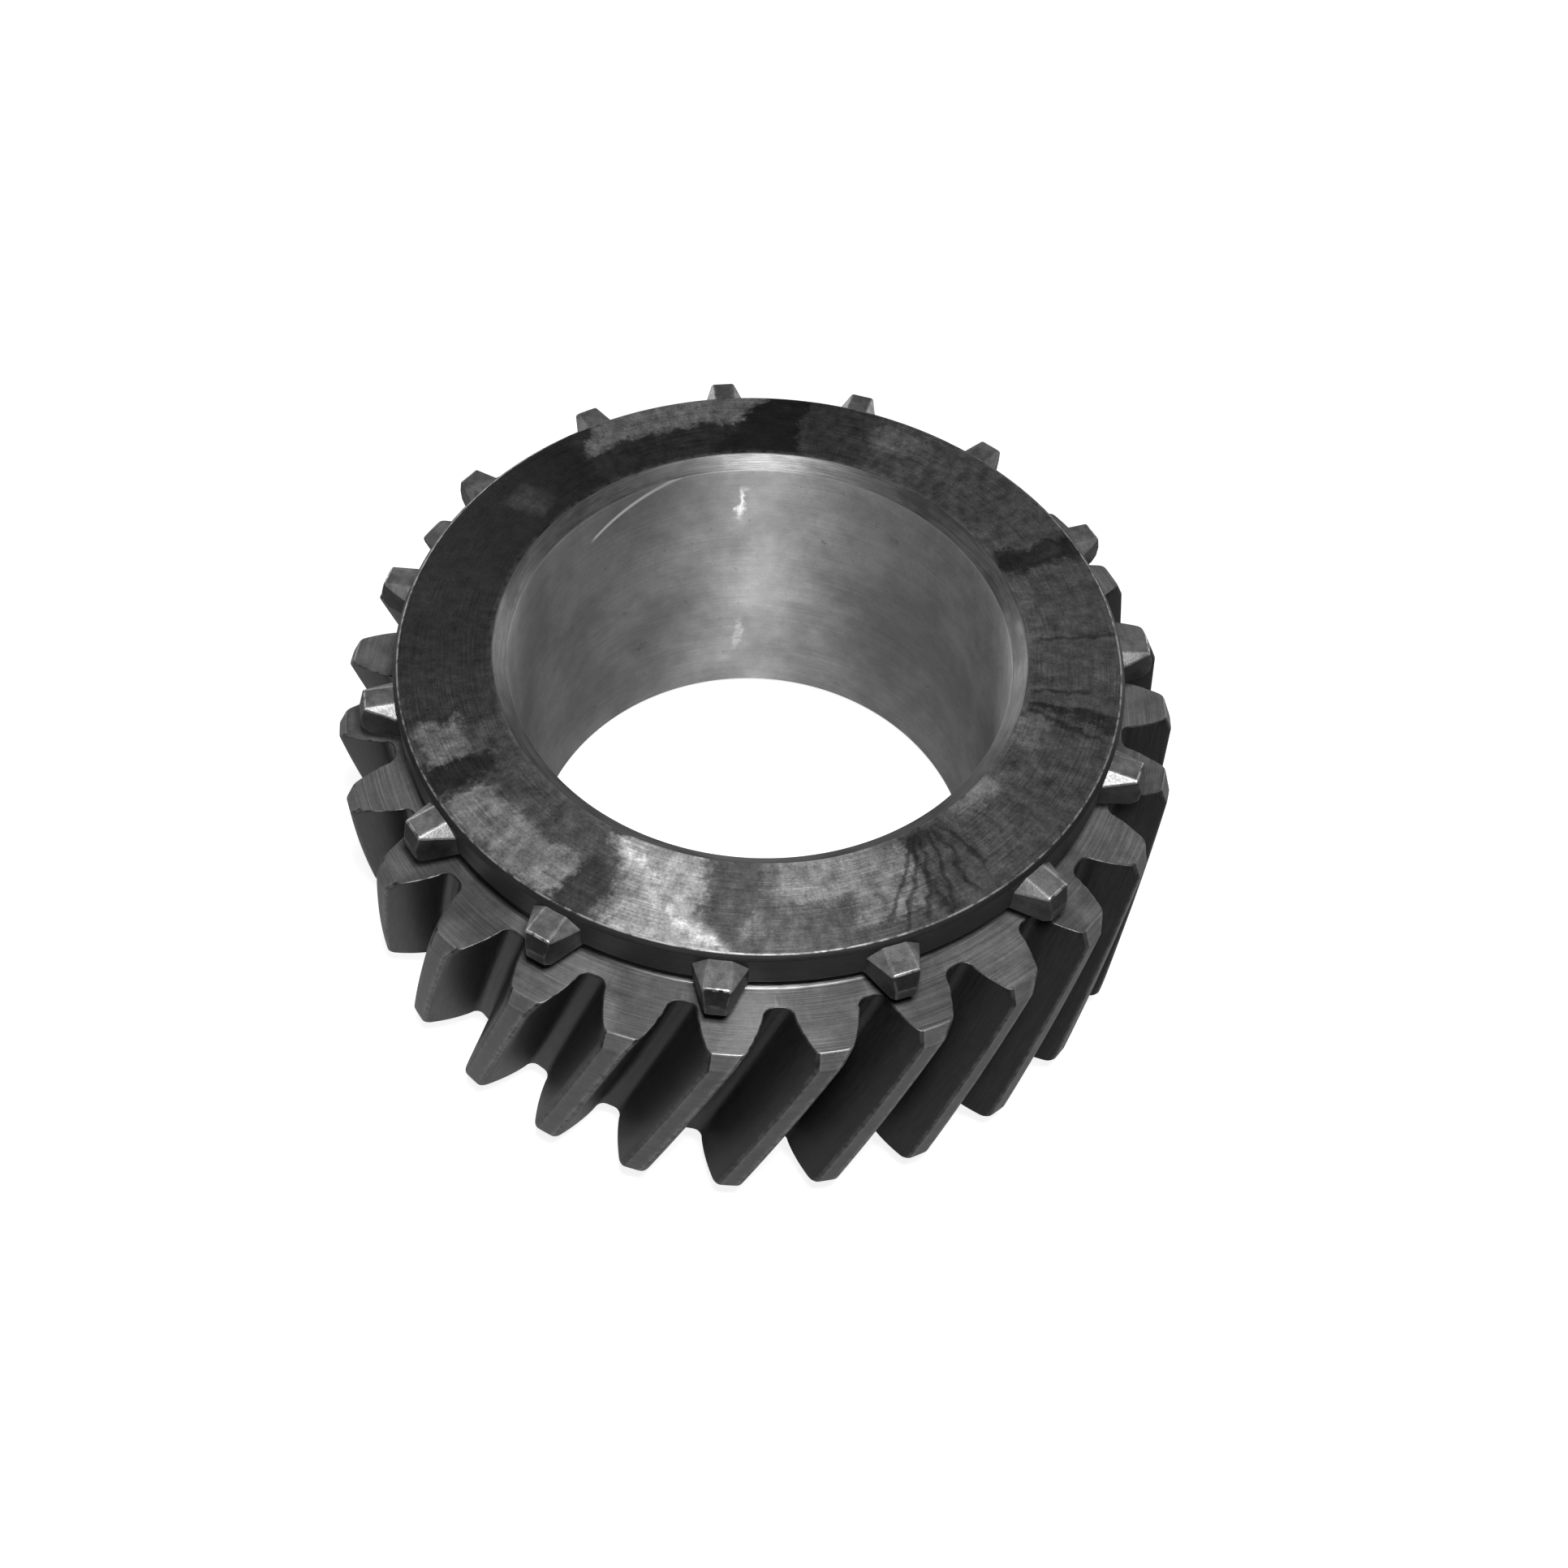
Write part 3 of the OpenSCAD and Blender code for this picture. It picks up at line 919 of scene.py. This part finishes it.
def make_materials():
    return {
        "flank": ground_flank(),
        "tip_land": turned_tip_land("turned_tip_land", 0.05, 0.13),
        "tip_bevel": turned_tip_land("turned_tip_bevel", 0.09, 0.2),
        "rim_face": turned_rim_face(),
        "shoulder": turned_shoulder(),
        "groove": oiled_steel("groove_steel", 0.03, 0.5, 0.2),
        "lower_face": lower_face(),
        "bore": ground_bore(),
        "bore_bevel": turned_bore_bevel(),
        "thrust_face": stained_thrust_face_with_painted_highlight(),
        "ring_edge": oiled_steel("worn_ring_edge", 0.04, 0.45, 0.18),
        "ring_bevel": oiled_steel("oiled_ring_bevel", 0.016, 0.5, 0.016),
        "ring_wall": oiled_steel("oiled_ring_wall", 0.014, 0.5, 0.014),
        # Painted light: one dog steel as a lit copy for the tops and shaded copies for the flanks and ends.
        "dog_top": dog_steel("dog_top", 0.11, 0.2, 0.4),
        "dog_flank": dog_steel("dog_flank", 0.012, 0.035, 0.1),
        "dog_end": dog_steel("dog_end", 0.01, 0.024, 0.3),
        "weld_bead": weld_bead(),
    }


# ---------------------------------------------------------------- stage

# The camera: how far from the middle of the thrust face and how high above it, then where it points
CAMERA_DISTANCE = 259.7
CAMERA_ELEVATION = 49.32
CAMERA_YAW = 0.37
CAMERA_DOWN = 47.75
CAMERA_ROLL = 2.87
CAMERA_LENS = 37.65
CAMERA_SHIFT = (0.0087, -0.1232)


def camera_frame():
    """The camera's place in mm, and its right, up and forward directions."""
    elevation, yaw = math.radians(CAMERA_ELEVATION), math.radians(CAMERA_YAW)
    down, roll = math.radians(CAMERA_DOWN), math.radians(CAMERA_ROLL)
    back, rise = CAMERA_DISTANCE * math.cos(elevation), CAMERA_DISTANCE * math.sin(elevation)
    place = Vector((0, -back, TOP_Z + rise))
    forward = Vector((math.sin(yaw) * math.cos(down), math.cos(yaw) * math.cos(down), -math.sin(down)))
    level = forward.cross(Vector((0, 0, 1))).normalized()
    upright = level.cross(forward)
    right = math.cos(roll) * level + math.sin(roll) * upright
    up = math.cos(roll) * upright - math.sin(roll) * level
    return place, right, up, forward


def camera():
    """The camera near the gear, looking down at the clutch ring's top face."""
    place, right, up, forward = camera_frame()
    data = bpy.data.cameras.new("camera")
    data.sensor_width = 36
    data.lens = CAMERA_LENS
    data.shift_x, data.shift_y = CAMERA_SHIFT
    data.clip_start = 0.01
    made = bpy.data.objects.new("camera", data)
    aim = Matrix((right, up, -forward)).transposed().to_4x4()
    made.matrix_world = Matrix.Translation(place * MM) @ aim
    bpy.context.scene.collection.objects.link(made)
    bpy.context.scene.camera = made


# How far the floor reaches to each side, in metres
FLOOR_HALF = 3.0

# How bright the floor and the room are: as metal and other surfaces see them, and as the camera does
FLOOR_GLOW = 0.02
ROOM_GLOW = 0.015
FLOOR_SHOWN = 0.86


def seen_or_lit(tree, socket, glow, shown):
    """Sets a brightness to shown for the camera and to glow for everything else."""
    seen = tree.nodes.new("ShaderNodeMapRange")
    tree.links.new(tree.nodes.new("ShaderNodeLightPath").outputs["Is Camera Ray"], seen.inputs["Value"])
    seen.inputs["To Min"].default_value = glow
    seen.inputs["To Max"].default_value = shown
    tree.links.new(seen.outputs[0], socket)


def floor():
    """A plain pale floor. Metal sees it dimmer than the camera does."""
    half = FLOOR_HALF
    mesh = bpy.data.meshes.new("floor")
    corners = [(-half, -half, 0), (half, -half, 0), (half, half, 0), (-half, half, 0)]
    mesh.from_pydata(corners, [], [(0, 1, 2, 3)])
    material = bpy.data.materials.new("pale_floor")
    material.use_nodes = True
    tree = material.node_tree
    shader = next(n for n in tree.nodes if n.type == "BSDF_PRINCIPLED")
    shader.inputs["Base Color"].default_value = (0.4, 0.4, 0.4, 1)
    shader.inputs["Roughness"].default_value = 0.9
    shader.inputs["Emission Color"].default_value = (1, 1, 1, 1)
    seen_or_lit(tree, shader.inputs["Emission Strength"], FLOOR_GLOW, FLOOR_SHOWN)
    mesh.materials.append(material)
    piece = bpy.data.objects.new("floor", mesh)
    bpy.context.scene.collection.objects.link(piece)


def area_light(name, place, target, size, power):
    """A soft square light at a place, in mm, facing a target."""
    data = bpy.data.lights.new(name, "AREA")
    data.size = size * MM
    data.energy = power
    light = bpy.data.objects.new(name, data)
    where = Vector(place) * MM
    light.location = where
    light.rotation_euler = (Vector(target) * MM - where).to_track_quat("-Z", "Y").to_euler()
    bpy.context.scene.collection.objects.link(light)


def lights():
    """A soft light above the camera, a weak one from the left, and low ones for the rear views."""
    world = bpy.data.worlds.new("pale_room")
    bpy.context.scene.world = world
    world.use_nodes = True
    background = world.node_tree.nodes["Background"]
    background.inputs["Color"].default_value = (1, 1, 1, 1)
    seen_or_lit(world.node_tree, background.inputs["Strength"], ROOM_GLOW, FLOOR_SHOWN)
    middle = (0, 0, 35)
    place, right, up, _ = camera_frame()
    area_light("key", place + 45 * up + 15 * right, middle, 45, 1.1)
    area_light("left_fill", (-520, -260, 150), middle, 300, 0.12)
    area_light("back_left", (-420, 480, 130), middle, 380, 2.2)
    area_light("back_right", (480, 420, 130), middle, 380, 1.6)


# ---------------------------------------------------------------- assembly


def place_piece(piece, node):
    """Fixes a piece to the part's one body, in place of a CAD node."""
    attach(piece, "root")
    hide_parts(node)


materials = make_materials()
place_piece(gear_wheel_shell().build("gear_wheel_body", materials), "gear_wheel")
place_piece(clutch_ring_shell().build("clutch_ring_body", materials), "clutch_ring")
place_piece(weld_shell().build("weld_seam_bead", materials), "weld_seam")
floor()
lights()
camera()
bpy.context.scene.view_settings.view_transform = "Standard"
